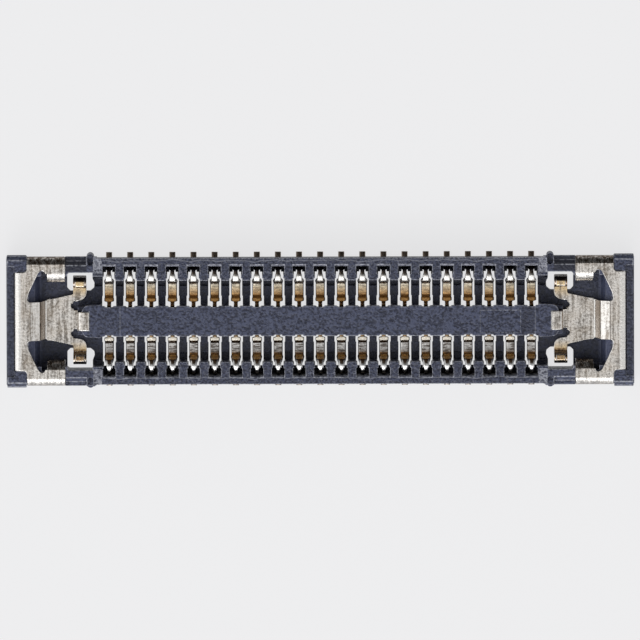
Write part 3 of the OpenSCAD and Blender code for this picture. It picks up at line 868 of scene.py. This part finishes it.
def contactPath(v):
    y, r, z = v["archY"], v["archR"], v["archZ"]
    outer, inner = y + r, y - r
    tail, groove, spring = v["thickness"] / 2, v["grooveZ"], v["springY"]
    small, full = v["smallBend"], r * 0.999    # a hair under the arch's radius keeps its two bends apart
    upper, waist, lower = v["waistZ"]
    rampFoot, rampTop = v["rampY"]
    crestFront, crestBack = v["crestRise"]
    springFoot, springTop = v["springZ"]
    rows = [
        (tailEnd, tail, 0),
        (outer, tail, v["tailBend"]),
        (outer, v["footZ"], 0),
        (outer, v["footZ"] + 0.01, 0),
        (outer, z, full),
        (inner, z, full),
        (inner, upper, small),
        (inner - v["waistDepth"], waist, small),
        (inner, lower, small),
        (inner, groove, v["grooveBend"]),
        (rampFoot, groove, small),
        (rampTop, groove + crestFront, v["rampBend"]),
        (spring, groove + crestBack, v["crestBend"]),
        (spring, springFoot, v["springBend"]),
        (spring - v["springLean"], springTop, 0),
    ]
    return withWidths(roundedPath(rows, v["bendSteps"]), v)


def stripSection(half, v):
    # The strip's section as (across, through), with rounded corners.
    wide, thick = v["edge"]
    steps = v["edgeSteps"]
    points = []
    for quarter, (sideX, sideZ) in enumerate(((1, 1), (-1, 1), (-1, -1), (1, -1))):
        for k in range(steps + 1):
            angle = math.pi / 2 * (quarter + k / steps)
            across = sideX * (half - wide) + wide * math.cos(angle)
            through = sideZ * (v["thickness"] / 2 - thick) + thick * math.sin(angle)
            points.append((across, through))
    return points


def bentStrip(name, points, v):
    # A strip whose middle follows the points, which lie in the YZ plane.
    work = bmesh.new()
    rings = []
    for i, (y, z, half) in enumerate(points):
        here = Vector((y, z))
        before = (here - Vector(points[i - 1][:2])).normalized() if i else None
        after = (Vector(points[i + 1][:2]) - here).normalized() if i < len(points) - 1 else None
        before, after = before or after, after or before
        normal = (before + after).normalized()
        normal = Vector((-normal.y, normal.x))
        normal /= normal.dot(Vector((-before.y, before.x)))
        ring = [(across, y + normal.x * t, z + normal.y * t) for across, t in stripSection(half, v)]
        rings.append([work.verts.new(place) for place in ring])
    for a, b in zip(rings, rings[1:]):
        for k in range(len(a)):
            after = (k + 1) % len(a)
            work.faces.new((a[k], a[after], b[after], b[k]))
    work.faces.new(rings[0])
    work.faces.new(rings[-1][::-1])
    bmesh.ops.recalc_face_normals(work, faces=work.faces)
    for face in work.faces:
        face.smooth = len(face.verts) == 4
    mesh = bpy.data.meshes.new(name)
    work.to_mesh(mesh)
    work.free()
    return mesh


def contactMaster(v):
    obj = newObject("contactMaster", bentStrip("contactMaster", contactPath(v), v))
    shading = obj.modifiers.new("shading", "WEIGHTED_NORMAL")
    shading.weight = 60
    mesh = evaluated(obj, "contactMaster")
    across = mesh.attributes.new("across", "FLOAT", "POINT")     # -1 to 1 from edge to edge
    for vertex in mesh.vertices:
        across.data[vertex.index].value = vertex.co.x / halfWidth(vertex.co.y, vertex.co.z, v)
    return newObject("contactMaster", mesh)


def buildRowTree():
    # Sets a copy of the contact at each place of a row, and gives each its own tint.
    tree = bpy.data.node_groups.new("contactRow", "GeometryNodeTree")
    inputs = (
        ("Contact", "Object"), ("Count", "Int"), ("Pitch", "Float"),
        ("Turn", "Float"), ("Seed", "Int"), ("Finish", "Material"),
    )
    for label, kind in inputs:
        tree.interface.new_socket(label, in_out="INPUT", socket_type="NodeSocket" + kind)
    tree.interface.new_socket("Geometry", in_out="OUTPUT", socket_type="NodeSocketGeometry")
    given, result = nodeIn(tree, "NodeGroupInput"), nodeIn(tree, "NodeGroupOutput")
    link = tree.links.new
    line = nodeIn(tree, "GeometryNodeMeshLine")
    step = nodeIn(tree, "ShaderNodeCombineXYZ")
    link(given.outputs["Pitch"], step.inputs["X"])
    link(given.outputs["Count"], line.inputs["Count"])
    link(step.outputs[0], line.inputs["Offset"])
    gaps = nodeIn(tree, "ShaderNodeMath", operation="SUBTRACT")
    link(given.outputs["Count"], gaps.inputs[0])
    gaps.inputs[1].default_value = 1
    reach = nodeIn(tree, "ShaderNodeMath", operation="MULTIPLY")
    link(gaps.outputs[0], reach.inputs[0])
    link(given.outputs["Pitch"], reach.inputs[1])
    start = nodeIn(tree, "ShaderNodeMath", operation="MULTIPLY")
    link(reach.outputs[0], start.inputs[0])
    start.inputs[1].default_value = -0.5
    first = nodeIn(tree, "ShaderNodeCombineXYZ")
    link(start.outputs[0], first.inputs["X"])
    link(first.outputs[0], line.inputs["Start Location"])
    master = nodeIn(tree, "GeometryNodeObjectInfo")
    link(given.outputs["Contact"], master.inputs["Object"])
    put = nodeIn(tree, "GeometryNodeInstanceOnPoints")
    link(line.outputs[0], put.inputs["Points"])
    link(master.outputs["Geometry"], put.inputs["Instance"])
    turn = nodeIn(tree, "ShaderNodeCombineXYZ")
    link(given.outputs["Turn"], turn.inputs["Z"])
    link(turn.outputs[0], put.inputs["Rotation"])
    chance = nodeIn(tree, "FunctionNodeRandomValue", data_type="FLOAT")
    link(given.outputs["Seed"], chance.inputs["Seed"])
    tint = nodeIn(tree, "GeometryNodeStoreNamedAttribute", data_type="FLOAT", domain="INSTANCE")
    tint.inputs["Name"].default_value = "tint"
    link(put.outputs[0], tint.inputs["Geometry"])
    link(next(s for s in chance.outputs if s.enabled), tint.inputs["Value"])
    whole = nodeIn(tree, "GeometryNodeRealizeInstances")
    link(tint.outputs[0], whole.inputs[0])
    finish = nodeIn(tree, "GeometryNodeSetMaterial")
    link(whole.outputs[0], finish.inputs["Geometry"])
    link(given.outputs["Finish"], finish.inputs["Material"])
    link(finish.outputs[0], result.inputs["Geometry"])
    return tree


def setInputs(modifier, **values):
    items = modifier.node_group.interface.items_tree
    sockets = {item.name: item.identifier for item in items if item.in_out == "INPUT"}
    for name, value in values.items():
        modifier[sockets[name]] = value


def contactRow(name, tree, master, turn, seed):
    obj = newObject(name + "Draft", bpy.data.meshes.new(name + "Draft"))
    modifier = obj.modifiers.new("row", "NODES")
    modifier.node_group = tree
    setInputs(modifier, Contact=master, Count=contactCount, Pitch=pitch, Turn=turn, Seed=seed, Finish=gold)
    mesh = evaluated(obj, name)
    toMetres(mesh)
    return mesh


rowTree = buildRowTree()
master = contactMaster(contactValues)
for row, turn in (("a", 0.0), ("b", math.pi)):
    label = "contactRow" + row.upper()
    mesh = contactRow(label, rowTree, master, turn, contactValues["seed"] + ord(row))
    finishPiece(label, mesh, gold, rowNames[row])
bpy.data.objects.remove(master)
print("contacts ready")
